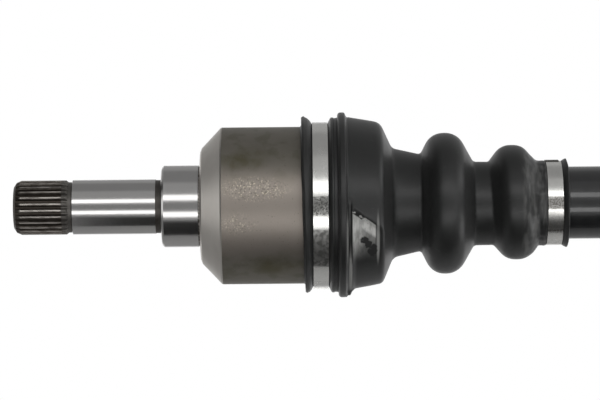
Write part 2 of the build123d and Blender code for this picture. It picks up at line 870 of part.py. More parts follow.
def write(name, shape):
    """Writes one node; a list of pieces becomes one file of separate solids."""
    if isinstance(shape, list):
        shape = Compound(children=[solid for piece in shape for solid in piece.solids()])
    export_step(shape, f"parts/{name}.step")


def main():
    os.makedirs("parts", exist_ok=True)
    write("inner_housing", inner_housing())
    write("spider", spider())
    trunnion_pieces = {
        "tripod_roller": [roller()],
        "needle_rollers": needle_set(),
    }
    for index, letter in enumerate("abc"):
        place = Pos(X=tripod_centre) * Rot(X=360 / trunnion_count * index)
        for name, pieces in trunnion_pieces.items():
            write(f"{name}_{letter}", [place * piece for piece in pieces])
    end_rings = {
        "roller_retainers": roller_retainer(),
        "trunnion_snap_rings": trunnion_snap_ring(),
    }
    for name, piece in end_rings.items():
        write(name, [Pos(X=tripod_centre) * one for one in around(piece, trunnion_count)])
    spider_inner, spider_outer, race_ring = bar_ring_spans()
    write("spider_circlip", bar_ring(spider_inner))
    write("spider_stop_ring", bar_ring(spider_outer))
    write("inner_race_circlip", bar_ring(race_ring))
    write("bar", bar())
    write("inner_boot", inner_boot())
    write("inner_boot_large_clamp", ear_clamp(clamp_seat_radius, inner_clamp_left, -100))
    write("inner_boot_small_clamp", ear_clamp(small_seat_radius, small_clamp_left, -84))
    write("outer_housing", outer_housing())
    write("inner_race", inner_race())
    write("ball_cage", cage())
    for index in range(ball_count):
        write(f"ball_{index + 1}", ball(index))
    write("outer_boot", outer_boot())
    write("outer_boot_large_clamp", ear_clamp(outer_clamp_seat(), outer_clamp_left(), -95))
    write("outer_boot_small_clamp", ear_clamp(small_seat_radius, outer_small_seat()[0] + 3.0, -90))


main()
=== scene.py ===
from math import cos, degrees, hypot, pi, radians, sin, tan

import bpy
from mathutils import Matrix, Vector, noise


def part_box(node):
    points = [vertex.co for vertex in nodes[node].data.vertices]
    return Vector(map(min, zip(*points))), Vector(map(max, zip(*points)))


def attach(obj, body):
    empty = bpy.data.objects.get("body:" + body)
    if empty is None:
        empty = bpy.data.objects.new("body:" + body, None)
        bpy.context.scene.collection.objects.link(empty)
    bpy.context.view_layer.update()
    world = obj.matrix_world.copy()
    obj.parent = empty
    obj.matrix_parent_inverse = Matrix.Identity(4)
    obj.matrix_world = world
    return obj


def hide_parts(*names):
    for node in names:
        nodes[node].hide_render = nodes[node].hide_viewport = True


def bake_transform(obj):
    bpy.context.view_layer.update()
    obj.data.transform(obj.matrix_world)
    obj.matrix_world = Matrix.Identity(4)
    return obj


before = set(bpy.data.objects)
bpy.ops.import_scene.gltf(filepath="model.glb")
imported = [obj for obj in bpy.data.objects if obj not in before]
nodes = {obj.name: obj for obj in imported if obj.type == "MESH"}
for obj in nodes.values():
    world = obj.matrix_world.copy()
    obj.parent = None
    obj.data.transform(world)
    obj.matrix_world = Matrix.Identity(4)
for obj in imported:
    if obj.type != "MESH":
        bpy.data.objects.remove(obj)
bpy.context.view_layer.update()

MM = 0.001
ROUND = 192  # segments round a modelled piece


def box_mm(node):
    """Lowest and highest corner of a CAD node in millimetres."""
    low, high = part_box(node)
    return low / MM, high / MM


def smoothstep(value, start, end):
    """0 before start, 1 after end, and a soft rise between them."""
    share = min(max((value - start) / (end - start), 0.0), 1.0)
    return share * share * (3 - 2 * share)


def window(value, low, high, soft):
    """1 between low and high, fading to 0 over soft on each side."""
    return smoothstep(value, low - soft, low) * (1 - smoothstep(value, high, high + soft))


# Sizes and places, from the frame and the photo
stub_end = box_mm("inner_housing")[0].x
rim = box_mm("inner_housing")[1].x
body_radius = box_mm("inner_housing")[1].z
large_clamp = (box_mm("inner_boot_large_clamp")[0].x, box_mm("inner_boot_large_clamp")[1].x)
small_clamp = (box_mm("inner_boot_small_clamp")[0].x, box_mm("inner_boot_small_clamp")[1].x)
outer_large = (box_mm("outer_boot_large_clamp")[0].x, box_mm("outer_boot_large_clamp")[1].x)
outer_small = (box_mm("outer_boot_small_clamp")[0].x, box_mm("outer_boot_small_clamp")[1].x)
shaft_end = box_mm("outer_housing")[1].x
spline_end = stub_end + 26.7
pilot_start = stub_end + 28.3
pilot_end = -11.95
seal_half = 9.05
shoulder_face = 10.05
chamfer_end = 20.45
thread_start = shaft_end - 20
hub_spline_end = shaft_end - 23
hub_pilot_end = shaft_end - 59
hub_face = shaft_end - 64
bell_seat = 43.5
tube_radius = 17.75
stub_teeth = 26
stub_tip = 13.2
stub_root = 12.1
hub_teeth = 27
hub_tip = 13.45
hub_root = 12.4


# Meshes


def mesh_object(name, points, faces, smooth=True):
    """A mesh object from points in millimetres."""
    mesh = bpy.data.meshes.new(name)
    mesh.from_pydata([(x * MM, y * MM, z * MM) for x, y, z in points], [], faces)
    mesh.polygons.foreach_set("use_smooth", [smooth] * len(mesh.polygons))
    mesh.update()
    made = bpy.data.objects.new(name, mesh)
    bpy.context.scene.collection.objects.link(made)
    return made


def rounded(corners, run):
    """Points about run apart along a line whose corners, given as (x, radius, bend), are arcs."""
    arc_step = 7.0
    path = [Vector(corners[0][:2])]
    for before, corner, after in zip(corners, corners[1:], corners[2:]):
        here = Vector(corner[:2])
        back = (Vector(before[:2]) - here).normalized()
        ahead = (Vector(after[:2]) - here).normalized()
        turn = pi - back.angle(ahead)
        bend = corner[2]
        if bend <= 0 or turn < 0.01:
            path.append(here)
            continue
        reach = bend * tan(turn / 2)
        middle = here + (back + ahead).normalized() * hypot(bend, reach)
        first = here + back * reach - middle
        last = here + ahead * reach - middle
        sweep = first.angle_signed(last)
        count = max(2, round(degrees(abs(sweep)) / arc_step))
        for step in range(count + 1):
            angle = -sweep * step / count
            along = first.x * cos(angle) - first.y * sin(angle)
            across = first.x * sin(angle) + first.y * cos(angle)
            path.append(middle + Vector((along, across)))
    path.append(Vector(corners[-1][:2]))
    even = [path[0]]
    for point in path[1:]:
        gap = (point - even[-1]).length
        pieces = max(1, int(gap / run))
        start = even[-1]
        for piece in range(1, pieces + 1):
            even.append(start.lerp(point, piece / pieces))
    return even


def relaxed(path, passes):
    """The path with its bends eased, as moulded rubber has them."""
    for _ in range(passes):
        eased = [(a + b * 2 + c) / 4 for a, b, c in zip(path, path[1:], path[2:])]
        path = [path[0]] + eased + [path[-1]]
    return path


def inside(path, wall):
    """The path moved inwards by the wall's thickness."""
    moved = []
    for index, point in enumerate(path):
        along = path[min(index + 1, len(path) - 1)] - path[max(index - 1, 0)]
        moved.append(point + Vector((along.y, -along.x)).normalized() * wall)
    return moved


def turned_points(outline, dent):
    """Rings about X, one for each outline point. A turn of 0 faces the camera and 90 degrees is up."""
    points = []
    for x, radius in outline:
        for step in range(ROUND):
            turn = 2 * pi * step / ROUND
            at_x, at_radius = dent(x, radius, turn)
            points.append((at_x, -at_radius * cos(turn), at_radius * sin(turn)))
    return points


def ring_faces(count):
    """Quads that join each of count rings to the next, and the last to the first."""
    faces = []
    for ring in range(count):
        here = ring * ROUND
        there = (ring + 1) % count * ROUND
        for step in range(ROUND):
            beside = (step + 1) % ROUND
            faces.append((here + step, there + step, there + beside, here + beside))
    return faces


def section_faces(steps, count):
    """Quads between steps + 1 sections of count points each, and a face over either end."""
    faces = []
    for step in range(steps):
        here = step * count
        there = here + count
        for side in range(count):
            beside = (side + 1) % count
            faces.append((here + side, there + side, there + beside, here + beside))
    faces.append(tuple(range(count)))
    faces.append(tuple(range(steps * count, (steps + 1) * count))[::-1])
    return faces


def two_pieces(names, outer, inner, split_x, dent):
    """A tube-shaped skin cut in two at split_x, shaded as if whole. Each point keeps its place at rest."""
    outline = outer + inner[::-1]
    points = turned_points(outline, dent)
    whole = mesh_object("whole", points, ring_faces(len(outline)))
    normals = [vertex.normal.copy() for vertex in whole.data.vertices]
    bpy.data.objects.remove(whole)
    cut_out = min(range(len(outer)), key=lambda i: abs(outer[i][0] - split_x))
    cut_in = min(range(len(inner)), key=lambda i: abs(inner[i][0] - split_x))
    last = len(outline) - 1
    left = list(range(cut_out + 1)) + list(range(last - cut_in, last + 1))
    right = list(range(cut_out, last - cut_in + 1))
    made = []
    for name, rings in zip(names, (left, right)):
        kept = [points[ring * ROUND + step] for ring in rings for step in range(ROUND)]
        piece = mesh_object(name, kept, ring_faces(len(rings)))
        piece.data.normals_split_custom_set_from_vertices(
            [normals[ring * ROUND + step] for ring in rings for step in range(ROUND)]
        )
        rest = piece.data.attributes.new("rest", "FLOAT_VECTOR", "POINT")
        rest.data.foreach_set("vector", [number * MM for point in kept for number in point])
        made.append(piece)
    return made


# Finishes


class Finish:
    """A node material, with short calls for the nodes that the finishes share."""

    def __init__(self, name, **sockets):
        self.material = bpy.data.materials.new(name)
        self.material.use_nodes = True
        self.tree = self.material.node_tree
        self.shader = self.tree.nodes["Principled BSDF"]
        for socket, value in sockets.items():
            self.shader.inputs[socket.replace("_", " ").title()].default_value = value
        self.place = self.node("ShaderNodeTexCoord").outputs["Object"]

    def node(self, kind, **settings):
        """Adds a node and gives it its settings."""
        made = self.tree.nodes.new(kind)
        for name, value in settings.items():
            setattr(made, name, value)
        return made

    def feed(self, socket, value):
        """Links a socket, or sets it when the value is a number or colour."""
        if isinstance(value, bpy.types.NodeSocket):
            self.tree.links.new(value, socket)
        else:
            socket.default_value = value

    def math(self, operation, first, second=0.0):
        """The result of an arithmetic operation on one or two values."""
        made = self.node("ShaderNodeMath", operation=operation)
        self.feed(made.inputs[0], first)
        self.feed(made.inputs[1], second)
        return made.outputs[0]

    def axes(self):
        """X along the shaft, the radius and the turn in degrees, 0 facing the camera and 90 up."""
        apart = self.node("ShaderNodeSeparateXYZ")
        self.feed(apart.inputs[0], self.place)
        x, y, z = (self.math("DIVIDE", out, MM) for out in apart.outputs)
        front = self.math("MULTIPLY", y, -1.0)
        squares = self.math("ADD", self.math("MULTIPLY", y, y), self.math("MULTIPLY", z, z))
        radius = self.math("SQRT", squares)
        turn = self.math("MULTIPLY", self.math("ARCTAN2", z, front), 180 / pi)
        return x, radius, turn

    def rise(self, value, start, end, low=0.0, high=1.0):
        """Low before start, high after end, and a soft step between them."""
        made = self.node("ShaderNodeMapRange", interpolation_type="SMOOTHSTEP")
        self.feed(made.inputs["Value"], value)
        for name, number in zip(("From Min", "From Max", "To Min", "To Max"), (start, end, low, high)):
            made.inputs[name].default_value = number
        return made.outputs["Result"]

    def between(self, value, low, high, soft):
        """1 between low and high, fading to 0 over soft on each side."""
        started = self.rise(value, low - soft, low)
        return self.math("MULTIPLY", started, self.rise(value, high, high + soft, 1.0, 0.0))

    def spot(self, x, turn, at_x, at_turn, reach_x, reach_turn, soft=0.5):
        """1 inside an ellipse on the skin, fading to 0 outside it."""
        along = self.math("DIVIDE", self.math("SUBTRACT", x, at_x), reach_x)
        around = self.math("DIVIDE", self.math("SUBTRACT", turn, at_turn), reach_turn)
        along = self.math("MULTIPLY", along, along)
        around = self.math("MULTIPLY", around, around)
        away = self.math("SQRT", self.math("ADD", along, around))
        return self.rise(away, 1 - soft, 1 + soft, 1.0, 0.0)

    def noise(self, size, detail=2.0, stretch=(1, 1, 1), roughness=0.5, seed=0.0):
        """Noise from 0 to 1 whose grains are about size millimetres across."""
        mapping = self.node("ShaderNodeMapping")
        self.feed(mapping.inputs["Vector"], self.place)
        mapping.inputs["Scale"].default_value = [1 / (size * MM * s) for s in stretch]
        mapping.inputs["Location"].default_value = (seed, seed * 0.7, -seed)
        made = self.node("ShaderNodeTexNoise")
        self.feed(made.inputs["Vector"], mapping.outputs["Vector"])
        made.inputs["Scale"].default_value = 1.0
        made.inputs["Detail"].default_value = detail
        made.inputs["Roughness"].default_value = roughness
        return made.outputs["Fac"]

    def dots(self, size, reach, seed=0.0):
        """1 in small grains about size millimetres apart, 0 between them."""
        mapping = self.node("ShaderNodeMapping")
        self.feed(mapping.inputs["Vector"], self.place)
        mapping.inputs["Scale"].default_value = (1 / (size * MM),) * 3
        mapping.inputs["Location"].default_value = (seed, seed * 0.7, -seed)
        made = self.node("ShaderNodeTexVoronoi")
        self.feed(made.inputs["Vector"], mapping.outputs["Vector"])
        made.inputs["Scale"].default_value = 1.0
        return self.rise(made.outputs["Distance"], reach, reach + 0.16, 1.0, 0.0)

    def mix(self, share, first, second):
        """The first colour where share is 0 and the second where it is 1."""
        made = self.node("ShaderNodeMix", data_type="RGBA")
        self.feed(made.inputs["Factor"], share)
        self.feed(made.inputs["A"], first)
        self.feed(made.inputs["B"], second)
        return made.outputs["Result"]

    def blend_numbers(self, share, first, second):
        """The first number where share is 0 and the second where it is 1."""
        made = self.node("ShaderNodeMix", data_type="FLOAT")
        self.feed(made.inputs["Factor"], share)
        self.feed(made.inputs["A"], first)
        self.feed(made.inputs["B"], second)
        return made.outputs["Result"]

    def colour(self, value):
        """Sets the shader's colour."""
        self.feed(self.shader.inputs["Base Color"], value)

    def rough(self, value):
        """Sets the shader's roughness."""
        self.feed(self.shader.inputs["Roughness"], value)

    def relief(self, *layers):
        """Bumps from (height socket, depth in millimetres) pairs, laid over each other."""
        normal = None
        for height, depth in layers:
            bump = self.node("ShaderNodeBump")
            bump.inputs["Distance"].default_value = depth * MM
            self.feed(bump.inputs["Height"], height)
            if normal:
                self.feed(bump.inputs["Normal"], normal)
            normal = bump.outputs["Normal"]
        self.feed(self.shader.inputs["Normal"], normal)


def grey(level, warm=0.0):
    """An opaque grey, warmer or cooler by a share of its level."""
    return (level * (1 + warm), level, level * (1 - warm), 1.0)


def ground_steel(name, level, rough):
    """Ground journal: bright, with fine lines round it and a few faint handling marks."""
    f = Finish(name, metallic=1.0)
    lines = f.noise(0.06, 3, (1, 60, 60))
    smears = f.noise(9, 3, (1.6, 1, 1))
    f.colour(f.mix(smears, grey(level * 0.93, 0.02), grey(level, 0.01)))
    ground = f.blend_numbers(lines, rough * 0.75, rough * 1.2)
    f.rough(f.math("ADD", ground, f.rise(smears, 0.5, 0.8, 0, 0.05)))
    f.relief((lines, 0.0012))
    return f.material


def satin_steel(name):
    """Turned faces with a fine feed line, pale and warm."""
    f = Finish(name, metallic=1.0)
    lines = f.noise(0.16, 2, (1, 90, 90))
    cloud = f.noise(7, 3)
    f.colour(f.mix(cloud, (0.50, 0.475, 0.44, 1), (0.60, 0.575, 0.54, 1)))
    f.rough(f.blend_numbers(lines, 0.36, 0.5))
    f.relief((lines, 0.004))
    return f.material


def body_wear(f, x, turn, stain, skin):
    """Olive marks, and two patches of bare specks and pits, laid over the skin where the photo has them."""
    olive_mark = (0.125, 0.115, 0.070, 1)
    bare_metal = (0.62, 0.56, 0.44, 1)
    pit = (0.10, 0.092, 0.07, 1)
    # Each place is a station along the shaft, a turn, and its reach along and round the shaft
    for place in ((35.0, 37.0, 7.0, 9.0), (46.0, -50.0, 10.0, 9.0), (27.0, 33.0, 6.0, 6.0)):
        ragged = f.rise(stain, 0.3, 0.6, 0.25, 0.75)
        mark = f.math("MULTIPLY", f.spot(x, turn, *place, soft=0.6), ragged)
        skin = f.mix(mark, skin, olive_mark)
    upper = f.spot(x, turn, 37.0, 12.0, 14.0, 8.0, soft=0.45)
    lower = f.spot(x, turn, 28.5, -13.5, 8.0, 7.0, soft=0.45)
    patch = f.math("MAXIMUM", upper, f.math("MULTIPLY", lower, 0.6))
    clumps = f.noise(1.9, 3, seed=9.7)
    bare = f.math("MULTIPLY", f.dots(0.95, 0.28, 5.3), f.rise(clumps, 0.36, 0.62, 0.1, 0.9))
    skin = f.mix(f.math("MULTIPLY", bare, patch), skin, bare_metal)
    pits = f.math("MULTIPLY", f.dots(1.25, 0.26, 8.8), f.math("MULTIPLY", patch, 0.45))
    return f.mix(pits, skin, pit)


def oxide_steel(name, worn=True):
    """Machined forging under a thin brown oxide, with olive stains and specks, and a painted highlight that
    makes its front lighter.
    """
    dark_oxide = (0.170, 0.160, 0.135, 1)
    light_oxide = (0.250, 0.232, 0.200, 1)
    olive_stain = (0.135, 0.130, 0.092, 1)
    painted_light = (0.345, 0.305, 0.272, 1)
    dark_speck = (0.07, 0.065, 0.05, 1)
    f = Finish(name, metallic=0.85)
    x, _, turn = f.axes()
    lines = f.noise(0.22, 3, (1, 70, 70))
    cloud = f.noise(13, 4, (1.4, 1, 1), 0.6)
    stain = f.noise(8, 4, seed=3.1)
    skin = f.mix(cloud, dark_oxide, light_oxide)
    olive = f.rise(stain, 0.50, 0.66)
    skin = f.mix(f.math("MULTIPLY", olive, 0.5), skin, olive_stain)
    # Painted highlight: the front, turned towards the camera, is painted lighter.
    front_highlight = f.math("MULTIPLY", f.between(turn, -28, 14, 22), f.blend_numbers(cloud, 0.55, 0.95))
    skin = f.mix(front_highlight, skin, painted_light)
    if worn:
        skin = body_wear(f, x, turn, stain, skin)
    specks = f.rise(f.noise(0.8, 2, seed=1.7), 0.69, 0.74)
    f.colour(f.mix(f.math("MULTIPLY", specks, 0.6), skin, dark_speck))
    f.rough(f.blend_numbers(cloud, 0.42, 0.54))
    f.relief((lines, 0.006), (cloud, 0.02))
    return f.material


def spline_steel(name, tip, root, teeth, first, last):
    """Rolled spline: a painted highlight line along each tooth's tip, painted shade that darkens the teeth
    towards their roots, and dull ends.
    """
    root_shade = (0.055, 0.046, 0.038, 1)
    flank = (0.20, 0.182, 0.163, 1)
    tip_highlight = (0.66, 0.625, 0.58, 1)
    dull_end = (0.14, 0.132, 0.122, 1)
    highlight_start = first + 3.5
    highlight_end = last - 3.6
    f = Finish(name, metallic=0.9)
    x, radius, turn = f.axes()
    grime = f.noise(1.6, 4, (2.4, 1, 1), 0.65)
    scratches = f.noise(0.35, 2, (12, 1, 1))
    # Painted shade: the colour darkens from the tips to the roots, broken up by the grime noise.
    height = f.rise(radius, root, tip)
    painted_light = f.math("MULTIPLY", height, f.rise(grime, 0.3, 0.7))
    base = f.mix(painted_light, root_shade, flank)
    # Painted highlight: a bright line along the middle of each tooth's tip.
    share = f.math("FRACT", f.math("DIVIDE", turn, 360 / teeth))
    line = f.math("MULTIPLY", f.between(share, 0.46, 0.60, 0.05), f.rise(radius, tip - 0.35, tip - 0.1))
    line = f.math("MULTIPLY", line, f.rise(f.noise(1.1, 3, (5, 1, 1), seed=5.5), 0.34, 0.62, 0.25, 1.0))
    line = f.math("MULTIPLY", line, f.between(x, highlight_start, highlight_end, 0.8))
    base = f.mix(line, base, tip_highlight)
    f.colour(f.mix(f.rise(x, highlight_end, last - 2.6), base, dull_end))
    f.rough(f.blend_numbers(grime, 0.36, 0.55))
    f.relief((scratches, 0.02), (grime, 0.03))
    return f.material


def dark_undercut(name):
    """Undercut and relief grooves that the grinding wheel doesn't reach."""
    f = Finish(name, metallic=0.9)
    grime = f.noise(1.2, 3)
    lines = f.noise(0.2, 2, (1, 60, 60))
    f.colour(f.mix(grime, (0.05, 0.046, 0.042, 1), (0.16, 0.148, 0.135, 1)))
    f.rough(f.blend_numbers(grime, 0.35, 0.55))
    f.relief((lines, 0.01))
    return f.material


def forged_inside(name):
    """Tracks and cavity: ground steel under a film of grease."""
    f = Finish(name, metallic=0.9)
    film = f.noise(4, 3)
    f.colour(f.mix(film, (0.16, 0.14, 0.11, 1), (0.34, 0.32, 0.29, 1)))
    f.rough(f.blend_numbers(film, 0.22, 0.42))
    f.relief((film, 0.02))
    return f.material


def bearing_steel(name):
    """Hardened and polished rolling parts, with a faint film of grease."""
    f = Finish(name, metallic=1.0)
    film = f.noise(2.5, 3)
    lines = f.noise(0.12, 2)
    f.colour(f.mix(film, (0.50, 0.485, 0.46, 1), (0.62, 0.61, 0.59, 1)))
    f.rough(f.blend_numbers(film, 0.12, 0.26))
    f.relief((lines, 0.001))
    return f.material


def spring_steel(name):
    """Phosphated split rings and washers."""
    f = Finish(name, metallic=0.8)
    grain = f.noise(0.5, 3)
    f.colour(f.mix(grain, (0.07, 0.066, 0.06, 1), (0.15, 0.142, 0.13, 1)))
    f.rough(f.blend_numbers(grain, 0.38, 0.55))
    f.relief((grain, 0.01))
    return f.material


def boot_dust_and_highlights(f, x, turn, edge):
    """Dust on the dented shoulder and on the wrinkles by the small band, and three painted highlight lines
    on the edges of the shoulder and the bead.
    """
    face = f.math("MULTIPLY", f.between(edge, -52, crease_start - 0.9, 1.0), f.between(x, 84.0, 94.4, 0.7))
    under_crease = f.math("MULTIPLY", f.rise(edge, -14.5, -9.5), f.rise(x, 86.0, 89.5, 0.75, 1.0))
    column = f.math("MULTIPLY", f.rise(turn, -44, -15), f.rise(x, 86.5, 90.5, 0.85, 0.42))
    streak = f.rise(f.noise(2.4, 4, (0.8, 1.6, 2.6), 0.62, seed=6.6), 0.32, 0.60, 0.60, 1.0)
    dust = f.math("MULTIPLY", f.math("MULTIPLY", face, f.math("MAXIMUM", under_crease, column)), streak)
    # Each painted highlight line is a station along the shaft, a turn, its reach along and round the shaft,
    # and its strength
    highlight_lines = (
        (95.9, -26.0, 0.75, 17.0, 0.42),
        (81.3, -23.0, 0.35, 15.0, 0.40),
        (82.7, -54.0, 0.75, 21.0, 0.42),
    )
    for at_x, at_turn, reach_x, reach_turn, strength in highlight_lines:
        line = f.spot(x, turn, at_x, at_turn, reach_x, reach_turn)
        # Each painted highlight is laid into the dust.
        dust = f.math("MAXIMUM", dust, f.math("MULTIPLY", line, strength))
    wrinkles = f.rise(f.noise(3.2, 3, (0.55, 2.4, 2.4), seed=1.9), 0.38, 0.70, 0.0, 0.10)
    return f.math("MAXIMUM", dust, f.math("MULTIPLY", f.between(x, 168.0, 179.0, 3.0), wrinkles))


def boot_grease_and_shadow(f, x, turn, edge):
    """Grease in a ragged blob on the dented shoulder and in crumbs along its crease, and a painted shadow
    low in the valley behind the bead.
    """
    ragged = f.math("MULTIPLY", f.math("SUBTRACT", f.noise(2.0, 4, seed=4.4), 0.5), 1.6)
    blob = f.spot(x, turn, 89.3, -24.8, 2.1, 2.7)
    blob = f.math("MAXIMUM", blob, f.spot(x, turn, 91.2, -28.4, 1.9, 3.3))
    blob = f.math("MAXIMUM", blob, f.spot(x, turn, 93.2, -33.6, 2.4, 5.2))
    blob = f.math("MULTIPLY", f.rise(f.math("ADD", blob, ragged), 0.34, 0.80), f.rise(blob, 0.0, 0.15))
    lumps = f.rise(f.noise(2.2, 3, seed=3.3), 0.48, 0.56)
    crumbs = f.math("MULTIPLY", f.between(edge, -4.8, -1.0, 1.0), lumps)
    crumbs = f.math("MULTIPLY", crumbs, f.between(x, 83.5, 90.0, 1.5))
    # Painted shadow: black low in the valley between the bead and the shoulder.
    painted_shadow = f.math("MULTIPLY", f.between(x, 81.9, 84.2, 0.5), f.between(turn, -104, -77, 4))
    return f.math("MAXIMUM", f.math("MAXIMUM", blob, crumbs), painted_shadow)


def scuffs(f, x, turn, base, rough):
    """Lays the dust with its painted highlight lines, then the grease with its painted shadow, over the
    rubber's colour and roughness.
    """
    dust_and_highlight_grey = (0.55, 0.55, 0.53, 1)
    grease_and_shadow_black = (0.004, 0.004, 0.004, 1)
    # Degrees of turn from the dent's crease, which slants across the shoulder
    edge = f.math("ADD", turn, f.math("MULTIPLY", f.math("SUBTRACT", x, dent_left), crease_slope))
    # The dust carries the painted highlight lines as well.
    dust = boot_dust_and_highlights(f, x, turn, edge)
    grease_and_shadow = boot_grease_and_shadow(f, x, turn, edge)
    base = f.mix(grease_and_shadow, f.mix(dust, base, dust_and_highlight_grey), grease_and_shadow_black)
    rough = f.blend_numbers(grease_and_shadow, f.blend_numbers(dust, rough, 0.50), 0.60)
    return base, rough


def boot_rubber(name, scuffed):
    """Black moulded rubber with a weak sheen and faint pale marks, which all move with the skin."""
    dark_rubber = (0.0062, 0.0068, 0.0064, 1)
    light_rubber = (0.0150, 0.0155, 0.0152, 1)
    pale_mark = (0.030, 0.031, 0.030, 1)
    f = Finish(name, sheen_weight=0.06, sheen_roughness=0.5)
    f.place = f.node("ShaderNodeAttribute", attribute_name="rest").outputs["Vector"]
    x, _, turn = f.axes()
    grain = f.noise(0.45, 3)
    cloud = f.noise(11, 3, (0.7, 1, 1))
    marks = f.noise(2.2, 4, (3.0, 1, 1), 0.6, seed=2.4)
    base = f.mix(cloud, dark_rubber, light_rubber)
    base = f.mix(f.rise(marks, 0.60, 0.76, 0, 0.5), base, pale_mark)
    rough = f.blend_numbers(cloud, 0.36, 0.47)
    if scuffed:
        base, rough = scuffs(f, x, turn, base, rough)
    f.colour(base)
    f.rough(rough)
    f.relief((grain, 0.010), (cloud, 0.10))
    return f.material


def stained_band(f, turn, base, rough):
    """A dull speckled place in front, and below it a painted dark reflection in clumps."""
    dull_steel = (0.20, 0.20, 0.19, 1)
    dark_speck = (0.07, 0.07, 0.065, 1)
    dark_reflection = (0.07, 0.07, 0.066, 1)
    clumps = f.noise(2.4, 3, seed=2.9)
    spread = f.rise(f.noise(1.6, 2, seed=5.1), 0.35, 0.60, 0.35, 1.0)
    zone = f.between(turn, -6.6, 5.2, 1.6)
    dulled = f.math("MULTIPLY", zone, f.rise(clumps, 0.35, 0.6, 0.45, 0.75))
    base = f.mix(dulled, base, dull_steel)
    specks = f.math("MULTIPLY", f.dots(0.85, 0.33, 7.7), zone)
    base = f.mix(f.math("MULTIPLY", specks, spread), base, dark_speck)
    # Painted reflection: the band is darkened below the front, in clumps.
    film = f.math("MULTIPLY", f.between(turn, -45.5, -18, 2.5), f.rise(clumps, 0.30, 0.62, 0.5, 1.0))
    base = f.mix(f.math("MULTIPLY", film, 0.85), base, dark_reflection)
    return base, f.blend_numbers(film, rough, 0.50)


def tarnished_band(f, turn, base, rough):
    """Brown tarnish in grains in front, and a painted dark reflection in the same grains in two places
    below.
    """
    tarnish_and_shade_brown = (0.15, 0.14, 0.128, 1)
    grains = f.noise(0.75, 3, seed=7.7)
    # Painted reflection: the two places below the front are darkened.
    low_shade = f.math("MULTIPLY", f.between(turn, -36, -14, 6), 0.45)
    ring = f.math("MAXIMUM", f.between(turn, -7, 7, 3), low_shade)
    ring = f.math("MAXIMUM", ring, f.between(turn, -41.5, -39.0, 1.2))
    tarnish_and_shade = f.math("MULTIPLY", ring, f.rise(grains, 0.40, 0.60, 0.50, 0.92))
    return f.mix(tarnish_and_shade, base, tarnish_and_shade_brown), f.blend_numbers(tarnish_and_shade, rough, 0.40)


def band_steel(name, stained):
    """Stainless clamp band: rolled lines along it, and either stains or tarnish, each with a painted dark
    reflection below the front.
    """
    f = Finish(name, metallic=1.0)
    _, _, turn = f.axes()
    lines = f.noise(0.25, 3, (1, 40, 40))
    smears = f.noise(4, 3, (1, 1.6, 1.6), seed=4.2)
    base = f.mix(smears, (0.66, 0.657, 0.630, 1), (0.79, 0.785, 0.760, 1))
    rough = f.blend_numbers(smears, 0.20, 0.32)
    wear = stained_band if stained else tarnished_band
    base, rough = wear(f, turn, base, rough)
    f.colour(base)
    f.rough(rough)
    f.relief((lines, 0.003), (smears, 0.02))
    return f.material


def black_paint(name):
    """Stoved black paint with a faint orange peel."""
    f = Finish(name, coat_weight=0.7, coat_roughness=0.07)
    peel = f.noise(1.3, 2)
    dust = f.noise(5, 4, seed=8.1)
    f.colour(f.mix(dust, (0.006, 0.0062, 0.0068, 1), (0.013, 0.0132, 0.014, 1)))
    f.rough(f.blend_numbers(dust, 0.24, 0.40))
    f.relief((peel, 0.012))
    return f.material


def paint_zones(node, zones, choose):
    """Gives a CAD node several finishes, by where the middle of each of its faces is."""
    mesh = nodes[node].data
    mesh.materials.clear()
    names = list(zones)
    for name in names:
        mesh.materials.append(zones[name])
    for polygon in mesh.polygons:
        middle = polygon.center / MM
        polygon.material_index = names.index(choose(middle.x, hypot(middle.y, middle.z)))


def paint(node, material):
    """Gives a whole CAD node one finish."""
    mesh = nodes[node].data
    mesh.materials.clear()
    mesh.materials.append(material)
    for polygon in mesh.polygons:
        polygon.material_index = 0


def inner_housing_zone(x, radius):
    """Finish of a face of the gearbox joint's housing, from the place of its middle."""
    if x > chamfer_end - 0.8 and radius < body_radius - 1.2:
        return "inside"
    if x > chamfer_end + 0.35:
        return "body"
    if x > shoulder_face - 0.4:
        return "chamfer"
    if x > seal_half - 0.1:
        return "groove"
    if x > -seal_half:
        return "seal"
    if x > pilot_end:
        return "groove"
    if x > pilot_start:
        return "pilot"
    return "spline"


def finish_inner_housing():
    """Finishes of the gearbox joint's housing, from its spline to its tracks."""
    paint_zones(
        "inner_housing",
        {
            "spline": spline_steel("spline_stub", stub_tip, stub_root, stub_teeth, stub_end, spline_end),
            "groove": dark_undercut("undercut"),
            "pilot": ground_steel("pilot_journal", 0.50, 0.20),
            "seal": ground_steel("seal_journal", 0.50, 0.20),
            "chamfer": satin_steel("turned_chamfer"),
            "body": oxide_steel("oxide_body"),
            "inside": forged_inside("greased_tracks"),
        },
        inner_housing_zone,
    )


def outer_housing_zone(x, radius):
    """Finish of a face of the wheel joint's housing, from the place of its middle."""
    if x < hub_face - 4 and radius < bell_seat - 3:
        return "inside"
    if x < hub_face - 16:
        return "bell"
    if x < hub_face + 0.3:
        return "back"
    if x < hub_pilot_end + 0.2:
        return "pilot"
    if x < hub_spline_end:
        return "spline"
    if x < thread_start:
        return "groove"
    return "thread"


def finish_outer_housing():
    """Finishes of the wheel joint's housing, from its bell to its thread."""
    paint_zones(
        "outer_housing",
        {
            "bell": oxide_steel("oxide_bell", worn=False),
            "back": satin_steel("turned_back"),
            "pilot": ground_steel("hub_pilot", 0.58, 0.2),
            "spline": spline_steel(
                "spline_hub", hub_tip, hub_root, hub_teeth, hub_pilot_end, hub_spline_end
            ),
            "groove": dark_undercut("hub_relief"),
            "thread": ground_steel("thread_steel", 0.5, 0.28),
            "inside": forged_inside("greased_ball_tracks"),
        },
        outer_housing_zone,
    )


# Boot on the gearbox joint

boot_wall = 2.2
plunge_to = rim + 16.6
dent_left = 83.3
crease_start = -1.6
crease_slope = 1.05


